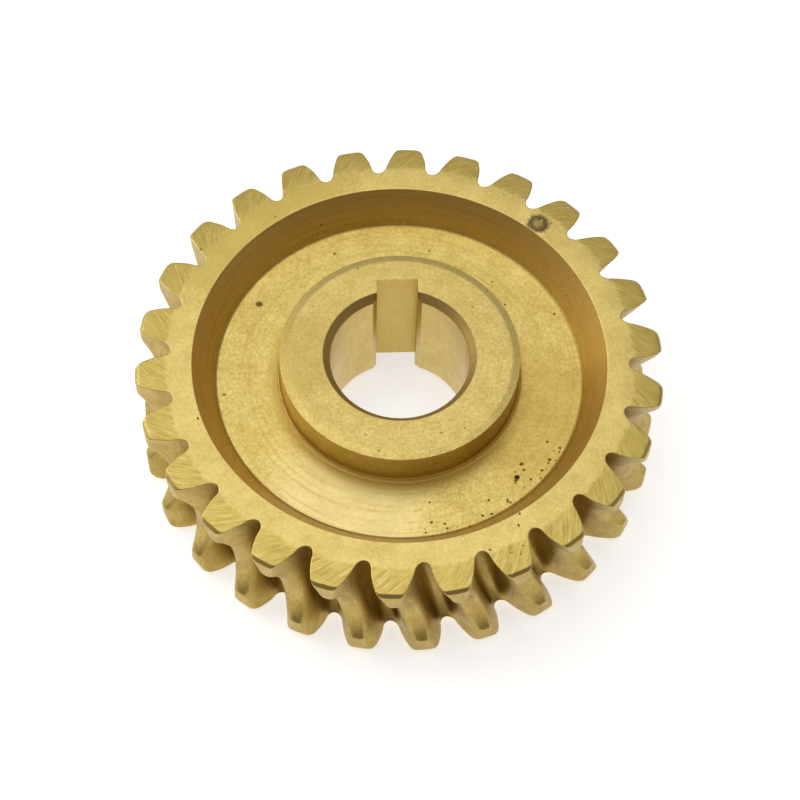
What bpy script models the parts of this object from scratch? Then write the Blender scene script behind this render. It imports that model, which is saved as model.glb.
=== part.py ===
"""Brass worm wheel: a turned blank whose throated teeth are cut by a hob, with a keyed bore.

Units are metres. +Z is the bore's axis and the origin is on it, in the plane of the hub's
back face, which the wheel lies on. The keyway is towards +Y.
"""
import math

import bmesh
import bpy
import numpy as np

# Teeth, and the worm that they mesh with
TEETH = 26
WORM_STARTS = 2
MODULE = 0.0026
PRESSURE_ANGLE = math.radians(14.5)
WORM_PITCH_RADIUS = 0.0092
TOOTH_ADDENDUM = 0.0015
TOOTH_DEDENDUM = 0.00465
ROOT_ROUNDING = 0.0026

# Rim
RIM_WIDTH = 0.0186
RIM_STEP = 0.0025
RIM_WALL = 0.00304
END_CHAMFER_DROP = 0.00045
END_CHAMFER_RUN = 0.0045

# Web between the two turned recesses
WEB_THICKNESS = 0.0086
RECESS_WALL_RUN = 0.0031
RECESS_CORNER = 0.0012

# Hub and bore
BORE_RADIUS = 0.010
BORE_CHAMFER = 0.001
HUB_WALL = 0.0072
HUB_PROUD = 0.0007
HUB_EDGE_CHAMFER = 0.0002
HUB_FILLET = 0.001
KEYWAY_WIDTH = 0.006
KEYWAY_DEPTH = 0.0028
KEYWAY_EDGE_BEVEL = 0.0006

# Fineness of the solid
STEPS_PER_TOOTH = 3
THROAT_STEPS = 6
FILLET_STEPS = 2
GAP_LEVELS = 9
FLANK_STEPS = 4
MERGE_DISTANCE = 0.00001
SHARP_ANGLE = math.radians(30)

# The hob's passage: how far it rolls past a gap, and in how many places it is looked at
ROLL_REACH = 0.45
ROLL_STEPS = 121
THREAD_STEPS = 60
OUTLINE_STEPS = 400
CUT_MARGIN = 0.0005

# Sizes that follow from the ones above
WHEEL_PITCH_RADIUS = MODULE * TEETH / 2
CENTRE_DISTANCE = WHEEL_PITCH_RADIUS + WORM_PITCH_RADIUS
HELIX_RISE = WORM_STARTS * MODULE / 2
THROAT_RADIUS = WHEEL_PITCH_RADIUS + TOOTH_ADDENDUM
THROAT_CURVE = CENTRE_DISTANCE - THROAT_RADIUS
OUTSIDE_RADIUS = THROAT_RADIUS + RIM_STEP
HOB_RADIUS = WORM_PITCH_RADIUS + TOOTH_DEDENDUM
HUB_RADIUS = BORE_RADIUS + HUB_WALL
HUB_LENGTH = RIM_WIDTH + 2 * HUB_PROUD
MID_HEIGHT = HUB_LENGTH / 2
PITCH_ANGLE = 2 * math.pi / TEETH


def root_radius(height):
    """Radius of the gap's floor at a height above the wheel's middle plane."""
    return CENTRE_DISTANCE - math.sqrt(HOB_RADIUS**2 - height**2)


RECESS_EDGE_RADIUS = root_radius(RIM_WIDTH / 2) - RIM_WALL
RECESS_FLOOR_RADIUS = RECESS_EDGE_RADIUS - RECESS_WALL_RUN


def arc(centre, radius, start, end, steps):
    """Points (radius, height) along an arc, with its angles in radians from the radial axis."""
    angles = [start + (end - start) * k / steps for k in range(steps + 1)]
    return [(centre[0] + radius * math.cos(a), centre[1] + radius * math.sin(a)) for a in angles]


def upper_profile():
    """Half section of the blank above its middle plane, from the throat in to the bore."""
    rim_top = RIM_WIDTH / 2
    hub_top = HUB_LENGTH / 2
    floor = WEB_THICKNESS / 2
    throat_end = math.acos((CENTRE_DISTANCE - OUTSIDE_RADIUS) / THROAT_CURVE)
    half_throat = THROAT_STEPS // 2
    points = arc((CENTRE_DISTANCE, 0), THROAT_CURVE, math.pi, math.pi - throat_end, half_throat)
    points.append((OUTSIDE_RADIUS, rim_top - END_CHAMFER_DROP))
    points.append((OUTSIDE_RADIUS - END_CHAMFER_RUN, rim_top))
    points.append((RECESS_EDGE_RADIUS, rim_top))
    # The recess wall leans, and a small fillet joins it to the web.
    lean = math.atan2(RECESS_WALL_RUN, rim_top - floor)
    setback = RECESS_CORNER * math.tan((math.pi / 2 - lean) / 2)
    corner = (RECESS_FLOOR_RADIUS - setback, floor + RECESS_CORNER)
    points += arc(corner, RECESS_CORNER, -lean, -math.pi / 2, FILLET_STEPS)
    foot = (HUB_RADIUS + HUB_FILLET, floor + HUB_FILLET)
    points += arc(foot, HUB_FILLET, -math.pi / 2, -math.pi, FILLET_STEPS)
    points.append((HUB_RADIUS, hub_top - HUB_EDGE_CHAMFER))
    points.append((HUB_RADIUS - HUB_EDGE_CHAMFER, hub_top))
    points.append((BORE_RADIUS + BORE_CHAMFER, hub_top))
    points.append((BORE_RADIUS, hub_top - BORE_CHAMFER))
    return points


def new_object(name, mesh, collection):
    """Put a mesh into the scene as an object of this name."""
    made = bpy.data.objects.new(name, mesh)
    collection.objects.link(made)
    return made


def turned_blank(collection):
    """The blank: one closed profile, turned about the bore's axis by a Screw modifier."""
    upper = upper_profile()
    lower = [(radius, -height) for radius, height in upper[1:]]
    # Down the outer side from the front face to the back, then home through the bore.
    outline = upper[::-1] + lower
    mesh = bpy.data.meshes.new("worm_wheel")
    corners = [(radius, 0, height + MID_HEIGHT) for radius, height in outline]
    edges = [(k, (k + 1) % len(outline)) for k in range(len(outline))]
    mesh.from_pydata(corners, edges, [])
    blank = new_object("worm_wheel", mesh, collection)
    turn = blank.modifiers.new("turned", "SCREW")
    turn.steps = TEETH * STEPS_PER_TOOTH
    turn.render_steps = turn.steps
    turn.use_merge_vertices = True
    turn.merge_threshold = MERGE_DISTANCE
    return blank


def hobbed_gap(height, radii):
    """Sides of one gap at a height above the middle plane, as two angles for each radius.

    The worm's thread is cut by a plane at this height. That section rolls past the wheel,
    as the hob does, and at each radius the gap is as wide as the section ever reaches.
    """
    deepest = math.sqrt(HOB_RADIUS**2 - height**2)
    depth = np.linspace(CENTRE_DISTANCE - radii.max(), deepest, THREAD_STEPS)
    half_thread = math.pi * MODULE / 4
    half_thread -= (np.hypot(depth, height) - WORM_PITCH_RADIUS) * math.tan(PRESSURE_ANGLE)
    twist = -HELIX_RISE * np.arctan2(height, depth)
    from_wheel_axis = CENTRE_DISTANCE - depth
    sides = []
    for side in (-1, 1):
        reach = np.full(radii.shape, -math.inf)
        for roll in np.linspace(-ROLL_REACH, ROLL_REACH, ROLL_STEPS):
            along = twist + side * half_thread + WHEEL_PITCH_RADIUS * roll
            distance = np.hypot(along, from_wheel_axis)
            angle = side * (np.arctan2(along, from_wheel_axis) - roll)
            order = np.argsort(distance)
            found = np.interp(radii, distance[order], angle[order], left=-math.inf, right=-math.inf)
            reach = np.maximum(reach, found)
        sides.append(side * reach)
    return sides


def gap_section(height):
    """Outline of one gap at a height, from one side's top round its floor to the other's top.

    Each point is the mean of the sharp outline over a stretch of its own length. The stretch
    grows towards the floor, and rounds the corners there.
    """
    floor = root_radius(height)
    top = OUTSIDE_RADIUS + CUT_MARGIN
    # The hob's tip only just reaches the floor, so the sides start a hair above it.
    radii = np.linspace(floor + MERGE_DISTANCE, top, THREAD_STEPS)
    low, high = hobbed_gap(height, radii)
    sharp = np.concatenate([(radii * np.exp(1j * low))[::-1], radii * np.exp(1j * high)])
    reached = np.concatenate([[0], np.abs(np.diff(sharp)).cumsum()])
    fine = np.linspace(0, reached[-1], OUTLINE_STEPS)
    line = np.interp(fine, reached, sharp)
    steps = (line[1:] + line[:-1]) / 2 * np.diff(fine)
    summed = np.concatenate([[0], steps.cumsum()])
    share = np.linspace(0, 1, FLANK_STEPS + 1)
    first_corner = reached[THREAD_STEPS - 1]
    last_corner = reached[THREAD_STEPS]
    middle = (first_corner + last_corner) / 2
    after = last_corner + (reached[-1] - last_corner) * share
    stations = np.concatenate([first_corner * share, [middle], after])
    stretch = ROOT_ROUNDING * np.concatenate([share, [1], share[::-1]]) + MERGE_DISTANCE
    end = np.clip(stations + stretch / 2, 0, reached[-1])
    start = np.clip(stations - stretch / 2, 0, reached[-1])
    means = (np.interp(end, fine, summed) - np.interp(start, fine, summed)) / (end - start)
    return [(point.real, point.imag) for point in means]


def hob_path(collection):
    """The cutter: one loft of gap sections for each gap, in a ring, as one mesh."""
    reach = RIM_WIDTH / 2 + CUT_MARGIN
    heights = np.linspace(-reach, reach, GAP_LEVELS)
    sections = [gap_section(height) for height in heights]
    mesh = bmesh.new()
    for tooth in range(TEETH):
        turn = tooth * PITCH_ANGLE
        rings = []
        for height, section in zip(heights, sections):
            ring = []
            for x, y in section:
                across = x * math.cos(turn) - y * math.sin(turn)
                along = x * math.sin(turn) + y * math.cos(turn)
                ring.append(mesh.verts.new((across, along, height + MID_HEIGHT)))
            rings.append(ring)
        count = len(rings[0])
        for lower, upper in zip(rings, rings[1:]):
            for k in range(count):
                after = (k + 1) % count
                mesh.faces.new((lower[k], lower[after], upper[after], upper[k]))
        mesh.faces.new(rings[0][::-1])
        mesh.faces.new(rings[-1])
    bmesh.ops.recalc_face_normals(mesh, faces=mesh.faces)
    data = bpy.data.meshes.new("hob_path")
    mesh.to_mesh(data)
    mesh.free()
    return new_object("hob_path", data, collection)


def keyway_broach(collection):
    """The cutter for the keyway: its outline, flared where its sides break into the bore."""
    half = KEYWAY_WIDTH / 2
    flared = half + KEYWAY_EDGE_BEVEL
    bore_edge = math.sqrt(BORE_RADIUS**2 - half**2)
    flare_start = bore_edge + KEYWAY_EDGE_BEVEL
    flare_end = math.sqrt(BORE_RADIUS**2 - flared**2) - CUT_MARGIN
    floor = BORE_RADIUS + KEYWAY_DEPTH
    right_side = [(flared, 0), (flared, flare_end), (half, flare_start), (half, floor)]
    outline = right_side + [(-x, y) for x, y in right_side[::-1]]
    mesh = bmesh.new()
    base = mesh.faces.new([mesh.verts.new((x, y, -CUT_MARGIN)) for x, y in outline])
    swept = bmesh.ops.extrude_face_region(mesh, geom=[base])
    lifted = [item for item in swept["geom"] if isinstance(item, bmesh.types.BMVert)]
    bmesh.ops.translate(mesh, verts=lifted, vec=(0, 0, HUB_LENGTH + 2 * CUT_MARGIN))
    bmesh.ops.recalc_face_normals(mesh, faces=mesh.faces)
    data = bpy.data.meshes.new("keyway_broach")
    mesh.to_mesh(data)
    mesh.free()
    return new_object("keyway_broach", data, collection)


def cut(target, cutter):
    """Take the cutter's solid out of the target."""
    cutter.hide_render = True
    cutter.display_type = "WIRE"
    step = target.modifiers.new(cutter.name, "BOOLEAN")
    step.operation = "DIFFERENCE"
    step.solver = "EXACT"
    step.object = cutter


def keep_cut_shape(target):
    """Make the cut shape the object's own mesh, round faces smooth and real edges sharp."""
    graph = bpy.context.evaluated_depsgraph_get()
    shape = bpy.data.meshes.new_from_object(target.evaluated_get(graph))
    target.modifiers.clear()
    target.data = shape
    shape.shade_smooth()
    shape.set_sharp_from_angle(angle=SHARP_ANGLE)


def brass():
    """Machined yellow brass."""
    material = bpy.data.materials.new("brass")
    material.use_nodes = True
    shader = material.node_tree.nodes["Principled BSDF"]
    shader.inputs["Base Color"].default_value = (0.68, 0.52, 0.20, 1)
    shader.inputs["Metallic"].default_value = 1.0
    shader.inputs["Roughness"].default_value = 0.42
    return material


def new_collection(name):
    """A collection of this name, linked to the scene."""
    made = bpy.data.collections.new(name)
    bpy.context.scene.collection.children.link(made)
    return made


for old in list(bpy.data.objects):
    bpy.data.objects.remove(old, do_unlink=True)

parts = new_collection("brass_worm_wheel")
cutters = new_collection("cutters")
wheel = turned_blank(parts)
cut(wheel, hob_path(cutters))
cut(wheel, keyway_broach(cutters))
keep_cut_shape(wheel)
wheel.data.materials.append(brass())
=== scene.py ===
# Brass worm wheel, dressed for its photograph. Shapes are worked out in millimetres above the
# wheel's middle plane, and put into metres, standing on the floor, when the mesh is made.
import math

import bpy
import numpy as np
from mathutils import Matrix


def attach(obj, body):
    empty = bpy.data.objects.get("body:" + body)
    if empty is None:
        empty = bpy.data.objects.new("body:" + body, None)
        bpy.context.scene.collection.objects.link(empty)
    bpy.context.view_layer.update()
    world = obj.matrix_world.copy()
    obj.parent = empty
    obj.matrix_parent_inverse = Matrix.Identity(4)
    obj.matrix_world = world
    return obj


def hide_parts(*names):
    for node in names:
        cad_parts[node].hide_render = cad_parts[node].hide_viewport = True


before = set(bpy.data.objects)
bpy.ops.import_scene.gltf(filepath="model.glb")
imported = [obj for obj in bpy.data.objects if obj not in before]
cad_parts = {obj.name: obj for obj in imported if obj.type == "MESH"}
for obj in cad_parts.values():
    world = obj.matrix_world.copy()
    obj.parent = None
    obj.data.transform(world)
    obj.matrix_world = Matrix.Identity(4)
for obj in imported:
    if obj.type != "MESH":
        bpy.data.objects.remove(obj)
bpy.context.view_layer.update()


# Hobbed teeth
# Twenty-six left-hand teeth stand round the rim. They are of the same brass as the rest, cut by
# a hob of the worm's own size, which leaves a hollow throat and gaps that slant across the rim.
TEETH = 26
PITCH_ANGLE = 2 * math.pi / TEETH
AXIAL_MODULE = 2.6
PITCH_RADIUS = AXIAL_MODULE * TEETH / 2
OUTSIDE_RADIUS = 37.8
RIM_HALF_WIDTH = 9.3
TIP_CHAMFER = 0.45
TIP_BLEND = 0.12

# The worm has two starts, so its thread rises by one module for each radian of its turn. The
# thread is flared at its root, which narrows the tips of the teeth inside the throat.
WORM_PITCH_RADIUS = 9.2
HOB_RADIUS = 13.85
CENTRE_DISTANCE = PITCH_RADIUS + WORM_PITCH_RADIUS
THREAD_SLOPE = math.tan(math.radians(14.5))
THREAD_HALF_WIDTH = math.pi * AXIAL_MODULE / 4
THREAD_RISE = AXIAL_MODULE
THREAD_FLARE = 0.5
FLARE_REACH = 1.4
THROAT_CURVE = 7.7

# How far the hob rolls past a gap to each side, in radians, and in how many steps.
ROLL_REACH = 0.45
ROLL_STEPS = 121

# The lengths of outline over which its corners are rounded, and the heights between which the
# tips' rounding changes from the throat's to the outer cylinder's.
THROAT_SOFTNESS = 1.5
TIP_SOFTNESS = 1.1
ROOT_SOFTNESS = 2.6
SOFTNESS_CHANGE = (5.3, 6.3)

# Columns of the mesh on each flank, and on each tip and each gap's floor, and the points that
# the thread's edge, a flank, a tip, a floor and three pitches of outline are worked out at.
FLANK_COLUMNS = 10
LAND_COLUMNS = 6
THREAD_POINTS = 60
FLANK_POINTS = 40
TIP_POINTS = 16
FLOOR_POINTS = 12
OUTLINE_POINTS = 2400


def hobbed_gap(height, radii):
    """Angles of a gap's two sides at each radius, in the plane at this height.

    The worm's thread is a trapezium there, narrower with distance from the worm's axis, flared
    at its root, and shifted by the thread's rise. It rolls past the wheel on the pitch circle,
    and each side is the furthest angle that the thread's edge ever reaches at that radius.
    """
    deepest = math.sqrt(HOB_RADIUS**2 - height**2)
    shallowest = max(CENTRE_DISTANCE - radii.max(), 0.1 * deepest)
    depth = np.linspace(shallowest, deepest, THREAD_POINTS)
    from_worm = np.hypot(depth, height)
    flare = THREAD_FLARE * np.clip(1 - (from_worm - THROAT_CURVE) / FLARE_REACH, 0, 1)**2
    half_thread = THREAD_HALF_WIDTH - (from_worm - WORM_PITCH_RADIUS) * THREAD_SLOPE + flare
    shift = -THREAD_RISE * np.arctan2(height, depth)
    from_axis = CENTRE_DISTANCE - depth
    sides = []
    for side in (-1, 1):
        reach = np.full(radii.shape, -math.inf)
        for roll in np.linspace(-ROLL_REACH, ROLL_REACH, ROLL_STEPS):
            along = shift + side * half_thread + PITCH_RADIUS * roll
            distance = np.hypot(along, from_axis)
            angle = side * (np.arctan2(along, from_axis) - roll)
            order = np.argsort(distance)
            found = np.interp(radii, distance[order], angle[order], left=-math.inf, right=-math.inf)
            reach = np.maximum(reach, found)
        sides.append(side * reach)
    return sides


def tip_radius(height):
    """Radius of the tooth tips: the least of the throat's arc, the outer cylinder and its chamfer.

    It is the mean over the heights within the tips' blend, which rounds the edges between them.
    """
    near = height + np.linspace(-TIP_BLEND, TIP_BLEND, 9)
    throat = CENTRE_DISTANCE - np.sqrt(np.maximum(THROAT_CURVE**2 - near**2, 0))
    chamfer = OUTSIDE_RADIUS + RIM_HALF_WIDTH - TIP_CHAMFER - np.abs(near)
    return np.minimum(np.minimum(throat, chamfer), OUTSIDE_RADIUS).mean()


def crowded(count):
    """Fractions from 0 up to 1 that lie closer at both ends: u less 0.12 sin(2 pi u)."""
    u = np.arange(count) / count
    return u - 0.12 * np.sin(2 * math.pi * u)


def toothed_ring(height):
    """Outline of all the teeth at this height, as complex numbers x + iy, one for each column.

    One pitch runs up a flank, over the tip, down the next flank and along the gap's floor.
    Each column is the mean of that line over a stretch of its own length, which rounds the
    corners: most at the floor and, inside the throat, at the tip. The pitch is then turned
    round the axis once for each tooth.
    """
    floor = CENTRE_DISTANCE - math.sqrt(HOB_RADIUS**2 - height**2)
    tip = tip_radius(height)
    radii = floor + (tip - floor) * np.linspace(0.004, 1, FLANK_POINTS)**1.2
    low, high = hobbed_gap(height, radii)
    flank_up = radii * np.exp(1j * high)
    over_tip = tip * np.exp(1j * np.linspace(high[-1], low[-1] + PITCH_ANGLE, TIP_POINTS))
    flank_down = (radii * np.exp(1j * (low + PITCH_ANGLE)))[::-1]
    floor_angles = np.linspace(low[0] + PITCH_ANGLE, high[0] + PITCH_ANGLE, FLOOR_POINTS)
    along_floor = radii[0] * np.exp(1j * floor_angles)
    parts = [flank_up, over_tip, flank_down, along_floor]
    lengths = [np.abs(np.diff(part)).sum() for part in parts]
    line = np.concatenate([part[:-1] for part in parts])
    turn = np.exp(1j * PITCH_ANGLE)
    line = np.concatenate([line / turn, line, line * turn, line[:1] * turn**2])
    reached = np.concatenate([[0], np.abs(np.diff(line)).cumsum()])
    fine = np.linspace(0, reached[-1], OUTLINE_POINTS)
    points = np.interp(fine, reached, line)
    summed = np.concatenate([[0], ((points[1:] + points[:-1]) / 2 * np.diff(fine)).cumsum()])
    starts = sum(lengths) + np.concatenate([[0], np.cumsum(lengths)[:-1]])
    counts = (FLANK_COLUMNS, LAND_COLUMNS, FLANK_COLUMNS, LAND_COLUMNS)
    stations = np.concatenate([s + n * crowded(c) for s, n, c in zip(starts, lengths, counts)])
    tip_softness = np.interp(abs(height), SOFTNESS_CHANGE, [THROAT_SOFTNESS, TIP_SOFTNESS])
    up = ROOT_SOFTNESS + (tip_softness - ROOT_SOFTNESS) * crowded(FLANK_COLUMNS)
    over = np.full(LAND_COLUMNS, tip_softness)
    down = ROOT_SOFTNESS + tip_softness - up
    below = np.full(LAND_COLUMNS, ROOT_SOFTNESS)
    stretch = np.concatenate([up, over, down, below])
    after = np.interp(stations + stretch / 2, fine, summed)
    before = np.interp(stations - stretch / 2, fine, summed)
    column = (after - before) / stretch
    return (column * turn ** np.arange(TEETH)[:, None]).ravel()


def moved_inward(ring, distance):
    """The ring moved into the metal by this distance, square to its own direction."""
    direction = np.roll(ring, -1) - np.roll(ring, 1)
    return ring + 1j * direction / np.abs(direction) * distance


def node(tree, kind, inputs=None, **settings):
    """Add a shader node with these settings. An input takes a value or another node's output."""
    made = tree.nodes.new("ShaderNode" + kind)
    for name, value in settings.items():
        setattr(made, name, value)
    for socket, value in (inputs or {}).items():
        if isinstance(value, bpy.types.NodeSocket):
            tree.links.new(value, made.inputs[socket])
        else:
            made.inputs[socket].default_value = value
    return made


def reckoned(tree, operation, *values):
    """Output of a Math node that does one operation on these numbers or outputs."""
    return node(tree, "Math", dict(enumerate(values)), operation=operation).outputs[0]


def times(tree, first, second):
    """The first number or output, multiplied by the second."""
    return reckoned(tree, "MULTIPLY", first, second)


def scaled(tree, value, factor, offset):
    """The value times the factor, plus the offset."""
    return reckoned(tree, "MULTIPLY_ADD", value, factor, offset)


def vector(tree, operation, *values):
    """Output of a Vector Math node that does one operation on these vectors or outputs."""
    return node(tree, "VectorMath", dict(enumerate(values)), operation=operation).outputs[0]


def parts_of(tree, place):
    """The x, the y and the z of a place."""
    return node(tree, "SeparateXYZ", {0: place}).outputs


def stepped(tree, value, low, high):
    """Nought at low, one at high, and a smooth step between them."""
    limits = {"Value": value, "From Min": low, "From Max": high}
    return node(tree, "MapRange", limits, interpolation_type="SMOOTHSTEP").outputs["Result"]


def mixed(tree, share, first, second):
    """The first colour, with this share of the second one."""
    return node(tree, "Mix", {0: share, 6: first, 7: second}, data_type="RGBA").outputs[2]


def tinted(tree, color, mask, share, tint):
    """The colour, with this share of the tint where the mask is one."""
    return mixed(tree, times(tree, mask, share), color, tint)


def noise(tree, place, scale, detail, roughness=0.5):
    """A noise from 0 to 1 at this place, with this many cells to a unit."""
    inputs = {"Vector": place, "Scale": scale, "Detail": detail, "Roughness": roughness}
    return node(tree, "TexNoise", inputs).outputs[0]


def new_group(name, inputs, outputs):
    """An empty node group: its tree, and the two nodes that hold its inputs and its outputs.

    Each input is given with its usual value, which tells its kind too, and each output with the
    count of its numbers.
    """
    tree = bpy.data.node_groups.new(name, "ShaderNodeTree")
    kinds = {1: "NodeSocketFloat", 3: "NodeSocketVector", 4: "NodeSocketColor"}
    for label, usual in inputs.items():
        kind = kinds[np.size(usual)]
        tree.interface.new_socket(label, in_out="INPUT", socket_type=kind).default_value = usual
    for label, size in outputs.items():
        tree.interface.new_socket(label, in_out="OUTPUT", socket_type=kinds[size])
    return tree, tree.nodes.new("NodeGroupInput").outputs, tree.nodes.new("NodeGroupOutput")


def placed(tree, name, inputs=None):
    """The outputs of a node group that is put into this tree with these inputs."""
    return node(tree, "Group", inputs, node_tree=bpy.data.node_groups[name]).outputs


def given_out(tree, end, **results):
    """Link a group's results to the sockets of the same names."""
    for name, result in results.items():
        tree.links.new(result, end.inputs[name])


# Place on the wheel, in millimetres from its middle. The angle is that of the grid's columns.
tree, given, end = new_group("place_on_wheel", {}, {"Position": 3, "Radius": 1, "Height": 1, "Angle": 1})
whole = vector(tree, "MULTIPLY", node(tree, "TexCoord").outputs["Object"], (1000, 1000, 1000))
centred = vector(tree, "ADD", whole, (0, 0, -10))
x, y, z = parts_of(tree, centred)
outward = reckoned(tree, "SQRT", reckoned(tree, "ADD", times(tree, x, x), times(tree, y, y)))
turns = parts_of(tree, node(tree, "UVMap", uv_map="round_and_along").outputs[0])[0]
given_out(tree, end, Position=centred, Radius=outward, Height=z, Angle=times(tree, turns, 2 * math.pi))

# Skin of the brass: blotches where it was handled and has dulled, with a fine grain over them.
tree, given, end = new_group(
    "brass_skin",
    {"Light": (0.7, 0.54, 0.2, 1), "Dark": (0.6, 0.44, 0.14, 1), "Blotch Size": 3, "Grain": 0.4},
    {"Color": 4, "Dullness": 1})
position = placed(tree, "place_on_wheel")["Position"]
blotch = noise(tree, position, reckoned(tree, "DIVIDE", 1, given["Blotch Size"]), 4, 0.6)
grain = noise(tree, position, 2.4, 3, 0.7)
blotch = stepped(tree, blotch, 0.3, 0.7)
grain = stepped(tree, grain, 0.3, 0.7)
dullness = node(tree, "Mix", {0: given["Grain"], 2: blotch, 3: grain}).outputs[0]
given_out(tree, end, Color=mixed(tree, dullness, given["Light"], given["Dark"]), Dullness=dullness)

# Edges rubbed bright by handling, with painted highlight, and hollows darkened with dirt and
# painted shade, from the mesh's own bend.
tree, given, end = new_group(
    "wear_dirt_and_painted_light", {"Edge Bend": 2.0, "Hollow Bend": 1.5}, {"Edge": 1, "Hollow": 1})
position = placed(tree, "place_on_wheel")["Position"]
uneven = reckoned(tree, "ADD", 0.5, noise(tree, position, 0.9, 3, 0.6))
bend = times(tree, node(tree, "Attribute", attribute_name="bend").outputs["Fac"], uneven)
given_out(tree, end, Edge=stepped(tree, bend, 0.25, given["Edge Bend"]),
          Hollow=stepped(tree, times(tree, bend, -1), 0.1, given["Hollow Bend"]))


def brass_material(name):
    """A new material and its tree. Its shader is a bare metal."""
    made = bpy.data.materials.new(name)
    made.use_nodes = True
    made.node_tree.nodes["Principled BSDF"].inputs["Metallic"].default_value = 1
    return made, made.node_tree


def finish(tree, color, roughness, relief):
    """Feed the shader its colour, its roughness, and its relief, which is in millimetres."""
    bump = node(tree, "Bump", {"Strength": 1, "Distance": 0.001, "Height": relief})
    shader = tree.nodes["Principled BSDF"]
    tree.links.new(color, shader.inputs["Base Color"])
    tree.links.new(roughness, shader.inputs["Roughness"])
    tree.links.new(bump.outputs[0], shader.inputs["Normal"])


# The flanks, the gaps' floors and the throat are as the hob left them, duller than the turned
# faces, with faint marks that run along the teeth. Their colour is painted darker and greyer than
# the turned faces' as painted shade.
hobbed_painted_shade, tree = brass_material("hobbed_brass_painted_shade")
place = placed(tree, "place_on_wheel")
# Painted shade: the skin's colours are darker and greyer than on the turned faces.
skin = placed(tree, "brass_skin", {"Light": (0.57, 0.43, 0.14, 1), "Dark": (0.46, 0.32, 0.08, 1),
                                   "Blotch Size": 2.2, "Grain": 0.45})
wear_and_painted_light = placed(tree, "wear_dirt_and_painted_light", {"Edge Bend": 3.0})
hob_marks = noise(tree, vector(tree, "MULTIPLY", place["Position"], (2.6, 2.6, 0.25)), 1, 2)
color = mixed(tree, stepped(tree, hob_marks, 0.55, 0.75), skin["Color"], (0.4, 0.28, 0.1, 1))
# Hollows darker with dirt and painted shade; edges lighter with wear and painted highlight.
color = tinted(tree, color, wear_and_painted_light["Hollow"], 0.35, (0.34, 0.23, 0.08, 1))
color = tinted(tree, color, wear_and_painted_light["Edge"], 0.35, (0.7, 0.56, 0.24, 1))
rough = scaled(tree, skin["Dullness"], 0.14, 0.36)
relief = times(tree, reckoned(tree, "ADD", hob_marks, skin["Dullness"]), 0.006)
finish(tree, color, rough, relief)


# Rim faces and tooth ends
# Both faces of the rim are faced flat on the lathe. The ends of the teeth fall away a little
# from there, dressed by hand or on a wheel, and their edges are just broken.
END_SLOPE = 0.1
END_START_RADIUS = 33.3
END_START_BLEND = 0.5
END_FADE_HEIGHT = 7
TOOTH_EDGE = 0.15

# Heights of the rings, which lie closest where the throat meets the outer cylinder.
TOOTH_LEVELS = [RIM_HALF_WIDTH - TOOTH_EDGE, 9.0, 8.86, 8.7, 8.3, 7.7, 7.0, 6.4, 6.05, 5.85]
TOOTH_LEVELS += [5.68, 5.5, 5.2, 4.6, 3.8, 3.0, 2.25, 1.5, 0.75, 0]

# The rim's face lies between the floor of the gaps and the edge of the recess.
RIM_FACE_WIDTH = 3.04
GAP_FLOOR_RADIUS = CENTRE_DISTANCE - math.sqrt(HOB_RADIUS**2 - RIM_HALF_WIDTH**2)
RECESS_EDGE_RADIUS = GAP_FLOOR_RADIUS - RIM_FACE_WIDTH


def end_drop(radius):
    """How far a tooth's end lies below the rim's face: a slope that starts over a millimetre.

    Within the blend to each side of its start it is the slope times (past + blend)^2 / 4 blend.
    """
    past = radius - END_START_RADIUS
    start = np.clip(past + END_START_BLEND, 0, None)**2 / (4 * END_START_BLEND)
    return END_SLOPE * np.where(past > END_START_BLEND, past, start)


def toothed_rows(side):
    """Rings and heights from one face's edge to the middle plane of the teeth.

    The edge is a quarter circle between a tooth's end and its flanks. Under it the rings are
    level, but for the drop of the tooth ends, which fades out over the first two millimetres.
    """
    end = toothed_ring(side * RIM_HALF_WIDTH)
    rows = []
    for bend in np.radians([90, 60, 30]):
        ring = moved_inward(end, TOOTH_EDGE * (1 - math.cos(bend)))
        height = RIM_HALF_WIDTH - end_drop(np.abs(end)) - TOOTH_EDGE * (1 - math.sin(bend))
        rows.append((ring, side * height))
    for level in TOOTH_LEVELS:
        ring = toothed_ring(side * level)
        fade = np.clip((level - END_FADE_HEIGHT) / (TOOTH_LEVELS[0] - END_FADE_HEIGHT), 0, 1)
        rows.append((ring, side * (level - end_drop(np.abs(ring)) * fade)))
    return rows


# Lines that a lathe's tool leaves round the axis on any turned face, one beside the other.
tree, given, end = new_group("turned_lines", {"Spacing": 0.3}, {"Line": 1})
place = placed(tree, "place_on_wheel")
level = scaled(tree, place["Radius"], 0.8, times(tree, place["Height"], 0.6))
level = reckoned(tree, "DIVIDE", level, given["Spacing"])
x, y = parts_of(tree, place["Position"])[:2]
round_about = {0: level, 1: times(tree, x, 0.05), 2: times(tree, y, 0.05)}
given_out(tree, end, Line=noise(tree, node(tree, "CombineXYZ", round_about).outputs[0], 1, 3, 0.6))

# Pits: small round holes of the casting that the turning has opened, one in some of the cells.
tree, given, end = new_group("casting_pits", {"Spacing": 1.5, "Share": 0.2, "Size": 0.2}, {"Pit": 1})
position = placed(tree, "place_on_wheel")["Position"]
crumbled = node(tree, "TexNoise", {"Vector": position, "Scale": 2.0, "Detail": 2}).outputs["Color"]
moved = vector(tree, "MULTIPLY_ADD", crumbled, (0.35, 0.35, 0.35), position)
density = reckoned(tree, "DIVIDE", 1, given["Spacing"])
cells = node(tree, "TexVoronoi", {"Vector": moved, "Scale": density}).outputs
apart = times(tree, cells["Distance"], given["Spacing"])
inside = stepped(tree, apart, given["Size"], times(tree, given["Size"], 0.4))
chosen = node(tree, "SeparateColor", {0: cells["Color"]}).outputs[0]
kept = reckoned(tree, "LESS_THAN", chosen, given["Share"])
given_out(tree, end, Pit=times(tree, inside, kept))
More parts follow.
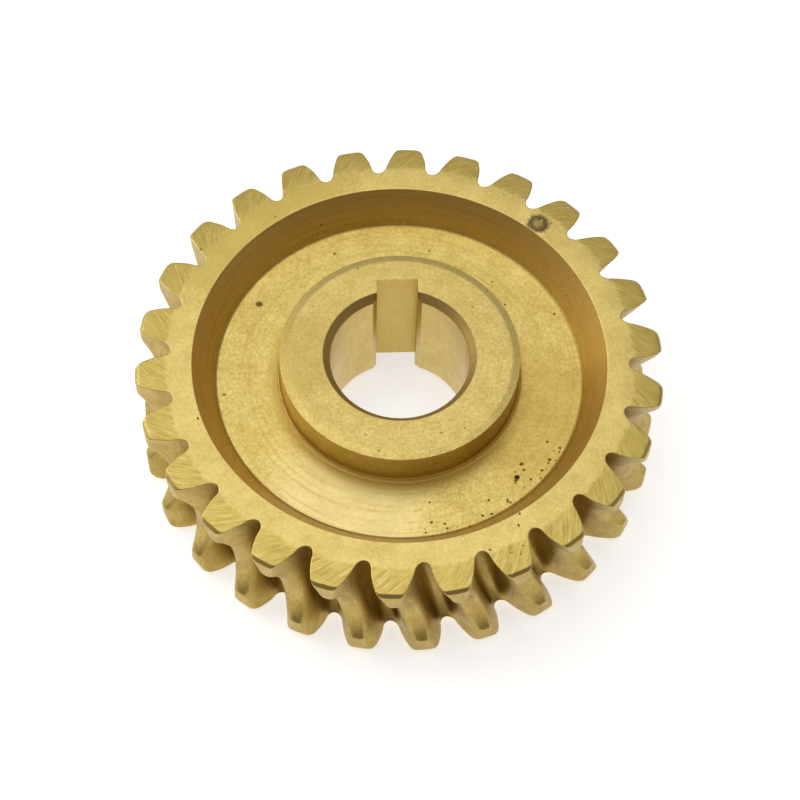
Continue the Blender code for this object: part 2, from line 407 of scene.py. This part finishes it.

# A round patch about one place, as a spot or, hollow, as the ring that a drying drop leaves. It
# makes stains, and also patches of painted highlight and painted shade.
tree, given, end = new_group("stain_and_painted_light", {"Centre": (0, 0, 0), "Reach": 1.0, "Hollowness": 0.0}, {"Stain": 1})
position = placed(tree, "place_on_wheel")["Position"]
between = {0: position, 1: given["Centre"]}
apart = node(tree, "VectorMath", between, operation="DISTANCE").outputs["Value"]
apart = reckoned(tree, "DIVIDE", apart, given["Reach"])
ragged = scaled(tree, noise(tree, position, 1.6, 3, 0.6), 0.9, -0.45)
apart = reckoned(tree, "ADD", apart, ragged)
spot = stepped(tree, apart, 1.1, 0.6)
ring = stepped(tree, apart, 0.15, 0.65)
open_share = node(tree, "Mix", {0: given["Hollowness"], 2: 1.0, 3: ring}).outputs[0]
given_out(tree, end, Stain=times(tree, spot, open_share))


def pitted(tree, spacing, share, size):
    """Mask of pits of this size, in this share of the cells that lie at this spacing."""
    return placed(tree, "casting_pits", {"Spacing": spacing, "Share": share, "Size": size})["Pit"]


def stain_and_painted_light_mask(tree, centre, reach, hollowness=0.0):
    """Mask of a round patch at this place, in millimetres from the wheel's middle. Stains use it, and so do
    patches of painted highlight and painted shade.
    """
    return placed(tree, "stain_and_painted_light", {"Centre": centre, "Reach": reach, "Hollowness": hollowness})["Stain"]


# The rim's face is finely turned. Each tooth's end is coarsely filed at 45 degrees to its own
# middle line, so the lines of all the teeth together make spirals. The far left is darker, a drop
# has dried at the far right, and pits crowd at the near right.
# Colour for edges: rubbed wear, and painted highlight.
RIM_WEAR_AND_HIGHLIGHT = (0.85, 0.72, 0.36, 1)
rim_face, tree = brass_material("faced_rim_brass")
place = placed(tree, "place_on_wheel")
skin = placed(tree, "brass_skin", {"Light": (0.77, 0.6, 0.21, 1), "Dark": (0.63, 0.465, 0.135, 1),
                                   "Blotch Size": 3.5, "Grain": 0.6})
lines = placed(tree, "turned_lines", {"Spacing": 0.28})["Line"]
wear_and_painted_light = placed(tree, "wear_dirt_and_painted_light", {"Edge Bend": 4.0})
winding = reckoned(tree, "LOGARITHM", place["Radius"], math.e)
across = times(tree, reckoned(tree, "ADD", place["Angle"], winding), 85)
along = times(tree, reckoned(tree, "SUBTRACT", winding, place["Angle"]), 7)
filed = noise(tree, node(tree, "CombineXYZ", {0: across, 1: along}).outputs[0], 1, 3, 0.65)
border = scaled(tree, noise(tree, place["Position"], 0.8, 2), 1.6, 32.6)
on_teeth = stepped(tree, reckoned(tree, "SUBTRACT", place["Radius"], border), -0.2, 0.5)
dark_line = times(tree, stepped(tree, filed, 0.5, 0.36), on_teeth)
light_line = times(tree, stepped(tree, filed, 0.52, 0.68), on_teeth)
near_right = stain_and_painted_light_mask(tree, (13.8, -28.3, RIM_HALF_WIDTH), 4.0)
crowd = pitted(tree, 1.4, times(tree, near_right, 0.4), 0.26)
pits = reckoned(tree, "MAXIMUM", pitted(tree, 2.2, 0.07, 0.22), crowd)
drop = stain_and_painted_light_mask(tree, (21.4, 22.9, RIM_HALF_WIDTH), 1.9, 0.45)
# The rim's face darker at the far left.
darkened_patch = stain_and_painted_light_mask(tree, (-21, 25, RIM_HALF_WIDTH), 19)
dulled = reckoned(tree, "MAXIMUM", times(tree, on_teeth, 0.65), times(tree, darkened_patch, 0.6))
color = mixed(tree, dulled, skin["Color"], (0.54, 0.4, 0.09, 1))
color = tinted(tree, color, dark_line, 0.6, (0.48, 0.34, 0.08, 1))
color = tinted(tree, color, light_line, 0.45, (0.82, 0.68, 0.3, 1))
# Edges lighter with wear and painted highlight.
color = tinted(tree, color, wear_and_painted_light["Edge"], 0.2, RIM_WEAR_AND_HIGHLIGHT)
color = mixed(tree, drop, color, (0.13, 0.09, 0.03, 1))
color = tinted(tree, color, pits, 0.85, (0.08, 0.05, 0.012, 1))
rough = scaled(tree, skin["Dullness"], 0.12, 0.33)
rough = scaled(tree, dark_line, 0.1, rough)
relief = scaled(tree, lines, 0.003, times(tree, skin["Dullness"], 0.004))
relief = scaled(tree, times(tree, filed, on_teeth), 0.03, relief)
relief = scaled(tree, pits, -0.12, relief)
finish(tree, color, rough, relief)


# Dished recesses, web and hub
# The lathe leaves a leaning wall inside the rim, a flat web and a hub that stands a little
# proud of the rim. The hub's edge is dressed to a shallow chamfer, the other edges just broken.
HUB_RADIUS = 17.2
HUB_HALF_LENGTH = 10.0
HUB_EDGE_WIDTH = 1.1
HUB_EDGE_DROP = 0.26
WEB_HALF_THICKNESS = 4.3
WALL_LEAN = 3.1
RECESS_FLOOR_RADIUS = RECESS_EDGE_RADIUS - WALL_LEAN
BORE_RADIUS = 10.0
BORE_CHAMFER = 1.0
SECTION_CORNERS = np.array([
    (BORE_RADIUS, HUB_HALF_LENGTH - BORE_CHAMFER),
    (BORE_RADIUS + BORE_CHAMFER, HUB_HALF_LENGTH),
    (HUB_RADIUS - HUB_EDGE_WIDTH, HUB_HALF_LENGTH),
    (HUB_RADIUS, HUB_HALF_LENGTH - HUB_EDGE_DROP),
    (HUB_RADIUS, WEB_HALF_THICKNESS),
    (RECESS_FLOOR_RADIUS, WEB_HALF_THICKNESS),
    (RECESS_EDGE_RADIUS, RIM_HALF_WIDTH)])

# How far each corner is cut back along both of its lines, and the points of its curve.
CORNER_CUTS = np.array([0.15, 0.1, 0.25, 0.08, 0.7, 0.3, 0.08])
CORNER_POINTS = 4


def turned_section():
    """Points (radius, height) from the bore out to the rim's face, with its corners rounded.

    Each corner is a quadratic Bezier curve that leaves and joins the section's straight lines
    at the corner's cut from where they meet.
    """
    before = np.vstack([[(BORE_RADIUS, 0)], SECTION_CORNERS[:-1]]) - SECTION_CORNERS
    after = np.vstack([SECTION_CORNERS[1:], [(OUTSIDE_RADIUS, RIM_HALF_WIDTH)]]) - SECTION_CORNERS
    cuts = CORNER_CUTS[:, None]
    start = SECTION_CORNERS + before / np.linalg.norm(before, axis=1, keepdims=True) * cuts
    end = SECTION_CORNERS + after / np.linalg.norm(after, axis=1, keepdims=True) * cuts
    t = np.linspace(0, 1, CORNER_POINTS)[:, None, None]
    curve = (1 - t)**2 * start + 2 * t * (1 - t) * SECTION_CORNERS + t**2 * end
    return curve.transpose(1, 0, 2).reshape(-1, 2)


# The wall and the web are turned more coarsely than the rim. The web is painted lighter at the near
# left as painted highlight, and amber at the right. Round the hub's foot it is painted amber-brown
# as painted shade, and its hollows are darker with dirt and painted shade. Pits crowd at the near
# right and along the wall's foot there, by one large hole.
# Colour for hollows: dirt, and painted shade.
DIRT_AND_PAINTED_SHADE = (0.4, 0.24, 0.06, 1)
dish, tree = brass_material("dished_web_brass")
place = placed(tree, "place_on_wheel")
skin = placed(tree, "brass_skin", {"Light": (0.8, 0.63, 0.22, 1), "Dark": (0.61, 0.44, 0.105, 1),
                                   "Blotch Size": 3.0, "Grain": 0.65})
lines = placed(tree, "turned_lines", {"Spacing": 0.45})["Line"]
wear_and_painted_light = placed(tree, "wear_dirt_and_painted_light", {"Hollow Bend": 1.2})
near_right = stain_and_painted_light_mask(tree, (17.2, -18.1, WEB_HALF_THICKNESS), 6.0)
crowd = pitted(tree, 1.2, times(tree, near_right, 0.4), 0.3)
x, y = parts_of(tree, place["Position"])[:2]
wall_foot = times(tree, stepped(tree, place["Radius"], 22.5, 25.5), stepped(tree, place["Height"], 6.2, 5.0))
low_side = times(tree, stepped(tree, y, -8, -14), stepped(tree, x, -9, 4))
foot_share = times(tree, times(tree, wall_foot, low_side), 0.8)
pits = reckoned(tree, "MAXIMUM", pitted(tree, 1.8, 0.12, 0.2), crowd)
pits = reckoned(tree, "MAXIMUM", pits, pitted(tree, 0.9, foot_share, 0.23))
hole = stain_and_painted_light_mask(tree, (16.0, -17.3, WEB_HALF_THICKNESS), 0.4)
spot = stain_and_painted_light_mask(tree, (-20.3, 12.7, WEB_HALF_THICKNESS), 0.6)
# Painted highlight: the web lighter at the near left.
bright = stain_and_painted_light_mask(tree, (-8, -21, WEB_HALF_THICKNESS), 13)
amber = times(tree, stain_and_painted_light_mask(tree, (20, -8, WEB_HALF_THICKNESS), 12), 0.5)
# Painted shade: the web amber-brown round the hub's foot.
hub_foot_painted_shade = times(tree, stepped(tree, place["Radius"], 19.6, 17.8), 0.75)
wall = stepped(tree, place["Height"], 4.8, 5.6)
color = tinted(tree, skin["Color"], bright, 0.7, (0.88, 0.72, 0.32, 1))
color = mixed(tree, reckoned(tree, "MAXIMUM", amber, hub_foot_painted_shade), color, (0.56, 0.37, 0.08, 1))
color = tinted(tree, color, wall, 0.6, (0.82, 0.56, 0.2, 1))
color = tinted(tree, color, stepped(tree, lines, 0.5, 0.33), 0.4, (0.55, 0.38, 0.09, 1))
# Hollows darker with dirt and painted shade.
color = tinted(tree, color, wear_and_painted_light["Hollow"], 0.65, DIRT_AND_PAINTED_SHADE)
# Edges lighter with wear and painted highlight.
color = tinted(tree, color, wear_and_painted_light["Edge"], 0.2, RIM_WEAR_AND_HIGHLIGHT)
color = mixed(tree, reckoned(tree, "MAXIMUM", hole, times(tree, spot, 0.85)), color, (0.06, 0.035, 0.01, 1))
color = tinted(tree, color, pits, 0.85, (0.14, 0.08, 0.02, 1))
rough = scaled(tree, skin["Dullness"], 0.14, 0.34)
rough = scaled(tree, wear_and_painted_light["Hollow"], 0.15, rough)
relief = scaled(tree, lines, 0.008, times(tree, skin["Dullness"], 0.006))
relief = scaled(tree, reckoned(tree, "MAXIMUM", pits, hole), -0.14, relief)
finish(tree, color, rough, relief)

# The hub's face has been handled and knocked most: fine mottling, and small bright dings. It is
# darker at the left, and its side at the near right is painted darker and browner as painted shade.
# Colour for edges: rubbed wear, and painted highlight.
HUB_WEAR_AND_HIGHLIGHT = (0.88, 0.76, 0.42, 1)
hub, tree = brass_material("hub_brass")
height = placed(tree, "place_on_wheel")["Height"]
skin = placed(tree, "brass_skin", {"Light": (0.76, 0.6, 0.22, 1), "Dark": (0.59, 0.43, 0.11, 1),
                                   "Blotch Size": 1.8, "Grain": 0.65})
lines = placed(tree, "turned_lines", {"Spacing": 0.35})["Line"]
wear_and_painted_light = placed(tree, "wear_dirt_and_painted_light", {"Edge Bend": 3.0, "Hollow Bend": 1.2})
dings = pitted(tree, 2.6, 0.28, 0.4)
specks = pitted(tree, 1.1, 0.08, 0.16)
# The hub's face darker at the left.
darker_left = stain_and_painted_light_mask(tree, (-14.5, 0, HUB_HALF_LENGTH), 8)
# Painted shade: the hub's side darker and browner at the near right.
darkened_patch = times(tree, stepped(tree, height, 9.7, 9.3), stain_and_painted_light_mask(tree, (15, -9, 7), 11))
color = tinted(tree, skin["Color"], stepped(tree, lines, 0.5, 0.35), 0.3, (0.55, 0.4, 0.13, 1))
color = tinted(tree, color, darker_left, 0.45, (0.52, 0.37, 0.09, 1))
color = tinted(tree, color, darkened_patch, 0.7, (0.45, 0.27, 0.05, 1))
# Hollows darker with dirt and painted shade.
color = tinted(tree, color, wear_and_painted_light["Hollow"], 0.6, DIRT_AND_PAINTED_SHADE)
color = tinted(tree, color, dings, 0.5, (0.86, 0.74, 0.4, 1))
color = tinted(tree, color, specks, 0.7, (0.12, 0.075, 0.02, 1))
# Edges lighter with wear and painted highlight.
color = tinted(tree, color, wear_and_painted_light["Edge"], 0.15, HUB_WEAR_AND_HIGHLIGHT)
rough = scaled(tree, skin["Dullness"], 0.14, 0.34)
relief = scaled(tree, lines, 0.004, times(tree, skin["Dullness"], 0.01))
relief = scaled(tree, reckoned(tree, "MAXIMUM", dings, specks), -0.06, relief)
finish(tree, color, rough, relief)


# Bore and keyway
# The bore is reamed to twenty millimetres for the shaft. The keyway is broached along it for a
# six millimetre key, and its mouth is eased with a scraper.
KEYWAY_HALF_WIDTH = 3.0
KEYWAY_FLOOR = 12.8
KEYWAY_EASE = 0.6
EASED_HALF_WIDTH = KEYWAY_HALF_WIDTH + KEYWAY_EASE
KEYWAY_LEAST_SINE = 0.5


def keyed(angles, radius):
    """Distance from the axis to the bore's edge at each angle, with the keyway towards +Y.

    It is the greatest of three shapes about the axis: the circle, the slot between its two
    sides and its floor, and the wedge whose slanting sides ease the slot's mouth. The last two
    lie where the angle's sine is over the least one.
    """
    across = np.abs(np.cos(angles))
    along = np.maximum(np.sin(angles), KEYWAY_LEAST_SINE)
    slot = np.minimum(KEYWAY_HALF_WIDTH / np.maximum(across, 0.01), KEYWAY_FLOOR / along)
    mouth = np.array([EASED_HALF_WIDTH, math.sqrt(BORE_RADIUS**2 - EASED_HALF_WIDTH**2)])
    inner = np.array([KEYWAY_HALF_WIDTH, math.sqrt(BORE_RADIUS**2 - KEYWAY_HALF_WIDTH**2) + KEYWAY_EASE])
    slant = np.array([inner[1] - mouth[1], mouth[0] - inner[0]])
    wedge = np.minimum(slant @ inner / (slant[0] * across + slant[1] * along), inner[1] / along)
    cut = np.where(np.sin(angles) > KEYWAY_LEAST_SINE, np.maximum(slot, wedge), 0)
    return np.maximum(cut, radius)


# The reamer and the broach leave scratches along the bore, and the brass there looks greyer. It
# is painted darker in the keyway as painted shade, and is darkest on the chamfers at the bore's mouths.
bore_wall, tree = brass_material("reamed_bore_brass")
place = placed(tree, "place_on_wheel")
skin = placed(tree, "brass_skin", {"Light": (0.76, 0.6, 0.24, 1), "Dark": (0.64, 0.48, 0.15, 1),
                                   "Blotch Size": 2.5, "Grain": 0.4})
wear_and_painted_light = placed(tree, "wear_dirt_and_painted_light", {"Edge Bend": 3.0})
drawn = {0: times(tree, place["Angle"], 45), 1: times(tree, place["Height"], 0.12),
         2: times(tree, place["Radius"], 2)}
scratches = noise(tree, node(tree, "CombineXYZ", drawn).outputs[0], 1, 3, 0.7)
mouth = times(tree, stepped(tree, reckoned(tree, "ABSOLUTE", place["Height"]), 8.8, 9.2),
              stepped(tree, place["Radius"], 11.4, 11.1))
# Painted shade: the keyway darker.
keyway = stepped(tree, place["Radius"], 10.3, 11.5)
color = tinted(tree, skin["Color"], keyway, 0.6, (0.6, 0.43, 0.1, 1))
color = tinted(tree, color, stepped(tree, scratches, 0.48, 0.3), 0.55, (0.5, 0.37, 0.11, 1))
# Edges lighter with wear and painted highlight.
color = tinted(tree, color, wear_and_painted_light["Edge"], 0.3, HUB_WEAR_AND_HIGHLIGHT)
color = tinted(tree, color, mouth, 0.8, (0.46, 0.3, 0.1, 1))
rough = scaled(tree, scratches, 0.2, scaled(tree, mouth, 0.2, 0.25))
finish(tree, color, rough, times(tree, scratches, 0.012))


# The casting
# Everything above is one piece of brass. Its section is carried round the axis as a grid: the
# rows follow the section from the bore out over the teeth and back, and the columns go round.
COLUMNS = 2 * TEETH * (FLANK_COLUMNS + LAND_COLUMNS)
MIDDLE_ANGLES = np.unwrap(np.angle(toothed_ring(0)))
EVEN_ANGLES = np.arange(COLUMNS) * 2 * math.pi / COLUMNS
EVEN_ANGLES += (MIDDLE_ANGLES - EVEN_ANGLES).mean()
BORE_HEIGHTS = (0, 3, 6)
RIM_SHARES = (0.12, 0.35, 0.58, 0.76, 0.9, 0.96)

# Each finish but the last ends two cells into a corner's curve: at the bore's mouth, the hub's
# foot and the recess's edge, which are these corners of the section, and at the teeth's edge.
FINISHES = [bore_wall, hub, dish, rim_face, hobbed_painted_shade]
CELLS_INTO_CURVE = 2
SECTION_ROWS = len(BORE_HEIGHTS) + CORNER_POINTS * len(SECTION_CORNERS)
FINISH_ENDS = [len(BORE_HEIGHTS) + CORNER_POINTS * corner + CELLS_INTO_CURVE for corner in (1, 4, 6)]
FINISH_ENDS.append(SECTION_ROWS + len(RIM_SHARES) + CELLS_INTO_CURVE)


def keyway_angles():
    """The even angles, drawn a little aside so that a column meets each corner of the keyway."""
    across = np.array([EASED_HALF_WIDTH, KEYWAY_HALF_WIDTH, KEYWAY_HALF_WIDTH])
    along = np.sqrt(BORE_RADIUS**2 - across**2) + np.array([0, KEYWAY_EASE, 0])
    along[2] = KEYWAY_FLOOR
    corners = np.arctan2(along, across)
    corners = np.concatenate([corners, (math.pi - corners)[::-1]])
    nearest = EVEN_ANGLES[np.abs(EVEN_ANGLES - corners[:, None]).argmin(axis=1)]
    ends = EVEN_ANGLES[[0, -1]]
    known = np.concatenate([ends[:1], nearest, ends[1:]])
    wanted = np.concatenate([ends[:1], corners, ends[1:]])
    return np.interp(EVEN_ANGLES, known, wanted)


KEYED_ANGLES = keyway_angles()


def half_wheel(side):
    """Rings and heights of one half, from the middle of the bore out to the middle of the teeth.

    Over the web the columns turn from the keyway's angles to those of the teeth at the face.
    Over the rim's face each ring lies a share of the way from the recess to the teeth.
    """
    teeth = toothed_rows(side)
    face_angles = np.unwrap(np.angle(teeth[0][0]))
    lag = (face_angles - EVEN_ANGLES).mean()
    bore = [(BORE_RADIUS, height) for height in BORE_HEIGHTS]
    rows = []
    for radius, height in np.vstack([bore, turned_section()]):
        share = np.clip((radius - HUB_RADIUS) / (RECESS_EDGE_RADIUS - HUB_RADIUS), 0, 1)
        angles = KEYED_ANGLES + lag * share
        rows.append((keyed(angles, radius) * np.exp(1j * angles), side * height))
    inner_angles = KEYED_ANGLES + lag
    inner_radius = np.abs(rows[-1][0])
    for share in RIM_SHARES:
        angles = inner_angles + (face_angles - inner_angles) * share
        radius = inner_radius + (np.abs(teeth[0][0]) - inner_radius) * share
        rows.append((radius * np.exp(1j * angles), side * (RIM_HALF_WIDTH - end_drop(radius))))
    return rows + teeth


# The halves share their first and their last row, which lie in the middle plane.
front = half_wheel(1)
back = half_wheel(-1)
rows = front + back[-2:0:-1]
points = np.empty((len(rows), COLUMNS, 3))
for row, (ring, height) in zip(points, rows):
    row[:, 0] = ring.real
    row[:, 1] = ring.imag
    row[:, 2] = height + HUB_HALF_LENGTH
points /= 1000
SHARP_TURN = math.radians(35)


def quad_corners(grid):
    """The four corners of each cell of a grid that closes on itself both ways, outwards."""
    up = np.roll(grid, -1, axis=0)
    return np.stack([grid, up, np.roll(up, -1, axis=1), np.roll(grid, -1, axis=1)], axis=2)


def cell_areas(points):
    """Each cell's area as a vector along its normal: half the cross product of its diagonals."""
    corners = quad_corners(points)
    return np.cross(corners[:, :, 2] - corners[:, :, 0], corners[:, :, 3] - corners[:, :, 1]) / 2


def point_normals(points):
    """The direction of the summed areas of the four cells round each point.

    Large flat cells so outweigh small bent ones, and flat faces stay flat up to their edges.
    """
    around = cell_areas(points)
    around = around + np.roll(around, 1, axis=0)
    around = around + np.roll(around, 1, axis=1)
    return around / np.linalg.norm(around, axis=2, keepdims=True)


def corner_normals(points):
    """The points' normals for each cell, or its own where it turns sharply from them."""
    own = cell_areas(points)
    own = (own / np.linalg.norm(own, axis=2, keepdims=True))[:, :, None]
    shared = quad_corners(point_normals(points))
    sharp = (own * shared).sum(axis=3, keepdims=True) < math.cos(SHARP_TURN)
    return np.where(sharp, own, shared)


def bends(points):
    """How sharply the surface turns at each point, in radians for a millimetre.

    Along the rows and along the columns, it is how far the way to the next point turns from the
    way to this one, against the normal, over the mean of the two distances. It is more than
    nought on an edge and less in a hollow.
    """
    normals = point_normals(points)
    total = np.zeros(points.shape[:2])
    for axis in (0, 1):
        ahead = np.roll(points, -1, axis=axis) - points
        behind = np.roll(ahead, 1, axis=axis)
        ahead_length = np.linalg.norm(ahead, axis=2)
        behind_length = np.linalg.norm(behind, axis=2)
        turn = ahead / ahead_length[:, :, None] - behind / behind_length[:, :, None]
        total -= (turn * normals).sum(axis=2) / (ahead_length + behind_length) * 2
    return total / 1000


def round_and_along(points):
    """For each corner of each cell, turns round the axis and distance along the section.

    The turns are the angle over a full circle, and go on past one in the last column, so that
    nothing jumps inside a cell. The distance is in decimetres and is that of the row's mean.
    """
    angles = np.unwrap(np.arctan2(points[:, :, 1], points[:, :, 0]), axis=1)
    turns = np.concatenate([angles, angles[:, :1] + 2 * math.pi], axis=1) / (2 * math.pi)
    mean_radius = np.hypot(points[:, :, 0], points[:, :, 1]).mean(axis=1)
    means = np.stack([mean_radius, points[:, :, 2].mean(axis=1)])
    steps = np.linalg.norm(np.roll(means, -1, axis=1) - means, axis=0)
    along = np.concatenate([[0], steps.cumsum()])[:, None] * 10 + np.zeros((1, COLUMNS + 1))
    turns = np.concatenate([turns, turns[:1]])
    both = np.stack([turns, along], axis=2)
    return np.stack([both[:-1, :-1], both[1:, :-1], both[1:, 1:], both[:-1, 1:]], axis=2)


numbers = np.arange(len(rows) * COLUMNS).reshape(len(rows), COLUMNS)
mesh = bpy.data.meshes.new("worm_wheel_casting")
mesh.from_pydata(points.reshape(-1, 3).tolist(), [], quad_corners(numbers).reshape(-1, 4).tolist())
mesh.polygons.foreach_set("use_smooth", np.ones(len(mesh.polygons), bool))
mesh.normals_split_custom_set(corner_normals(points).reshape(-1, 3).tolist())
mesh.attributes.new("bend", "FLOAT", "POINT").data.foreach_set("value", bends(points).ravel())
mesh.uv_layers.new(name="round_and_along").uv.foreach_set("vector", round_and_along(points).ravel())
for made in FINISHES:
    mesh.materials.append(made)
from_face = np.arange(len(rows))
from_face = np.minimum(from_face, len(rows) - 1 - from_face)
finish_of_row = np.searchsorted(FINISH_ENDS, from_face, side="right")
mesh.polygons.foreach_set("material_index", np.repeat(finish_of_row, COLUMNS))
wheel = bpy.data.objects.new("worm_wheel_casting", mesh)
bpy.context.scene.collection.objects.link(wheel)
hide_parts("worm_wheel")
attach(wheel, "root")


# Studio
# The wheel lies on a plain white table that shows white to the camera and in the brass, under
# one soft box overhead and a smaller one at the left.
TABLE_SIZE = 30
TABLE_HEIGHT = -0.00005
TABLE_GLOW = 0.6
half = TABLE_SIZE / 2
corners = [(-half, -half), (half, -half), (half, half), (-half, half)]
sheet = bpy.data.meshes.new("table")
sheet.from_pydata([(x, y, TABLE_HEIGHT) for x, y in corners], [], [(0, 1, 2, 3)])
table = bpy.data.objects.new("table", sheet)
bpy.context.scene.collection.objects.link(table)
white = bpy.data.materials.new("white_table")
white.use_nodes = True
tree = white.node_tree
paint = tree.nodes["Principled BSDF"].inputs
paint["Base Color"].default_value = (0.85, 0.85, 0.85, 1)
paint["Roughness"].default_value = 0.9
paint["Emission Color"].default_value = (1, 1, 1, 1)
ray = node(tree, "LightPath").outputs
seen = reckoned(tree, "MAXIMUM", ray["Is Camera Ray"], ray["Is Glossy Ray"])
tree.links.new(times(tree, seen, TABLE_GLOW), paint["Emission Strength"])
table.data.materials.append(white)


def soft_box(name, place, size, power):
    """A square lamp of this size, in metres, that faces the wheel from this place."""
    lamp = bpy.data.lights.new(name, "AREA")
    lamp.size = size
    lamp.energy = power
    made = bpy.data.objects.new(name, lamp)
    bpy.context.scene.collection.objects.link(made)
    made.location = place
    x, y, z = place
    made.rotation_euler = (math.atan2(math.hypot(x, y), z), 0, math.atan2(x, -y))


soft_box("overhead_soft_box", (-0.1, 0.16, 0.9), 1.05, 3.1)
soft_box("left_soft_box", (-0.76, 0.36, 0.44), 0.6, 2.3)

# The room is plain grey, and browner and darker behind the camera, where the walls that face it
# and the edges' chamfers mirror it.
ROOM = (0.42, 0.42, 0.42, 1)
BEHIND_CAMERA = (0.19, 0.16, 0.13, 1)
world = bpy.data.worlds.new("studio")
world.use_nodes = True
tree = world.node_tree
away = parts_of(tree, node(tree, "TexCoord").outputs["Generated"])[1]
room = mixed(tree, stepped(tree, away, 0.2, -0.7), ROOM, BEHIND_CAMERA)
tree.links.new(room, tree.nodes["Background"].inputs["Color"])
bpy.context.scene.world = world


# Camera
# It stands 290 mm from the rim's face, 59 degrees above it, with the keyway almost straight
# away from it and the frame tilted by two degrees. Its shift is to its own right and up.
CAMERA_DISTANCE = 0.290
CAMERA_SHIFT = (0.00001, -0.00622)
FACE_HEIGHT = 0.0193
TILT = math.radians(59.2)
ROLL = math.radians(2.0)
TURN = math.radians(-3.65)
RIGHT = np.array([1, 0, 0])
UP = np.array([0, math.sin(TILT), math.cos(TILT)])
AHEAD = np.array([0, math.cos(TILT), -math.sin(TILT)])
across = math.cos(ROLL) * RIGHT + math.sin(ROLL) * UP
upwards = -math.sin(ROLL) * RIGHT + math.cos(ROLL) * UP
stand = -CAMERA_DISTANCE * AHEAD + CAMERA_SHIFT[0] * across + CAMERA_SHIFT[1] * upwards
turn = np.array([[math.cos(TURN), -math.sin(TURN), 0], [math.sin(TURN), math.cos(TURN), 0], [0, 0, 1]])
pose = np.eye(4)
pose[:3, 0] = turn @ across
pose[:3, 1] = turn @ upwards
pose[:3, 2] = turn @ -AHEAD
pose[:3, 3] = turn @ stand + (0, 0, FACE_HEIGHT)
lens = bpy.data.cameras.new("camera")
lens.sensor_width = 36
lens.lens = 91.35
lens.clip_start = 0.01
lens.clip_end = 20
camera = bpy.data.objects.new("camera", lens)
bpy.context.scene.collection.objects.link(camera)
camera.matrix_world = pose.T.tolist()
bpy.context.scene.camera = camera
bpy.context.scene.view_settings.view_transform = "Standard"
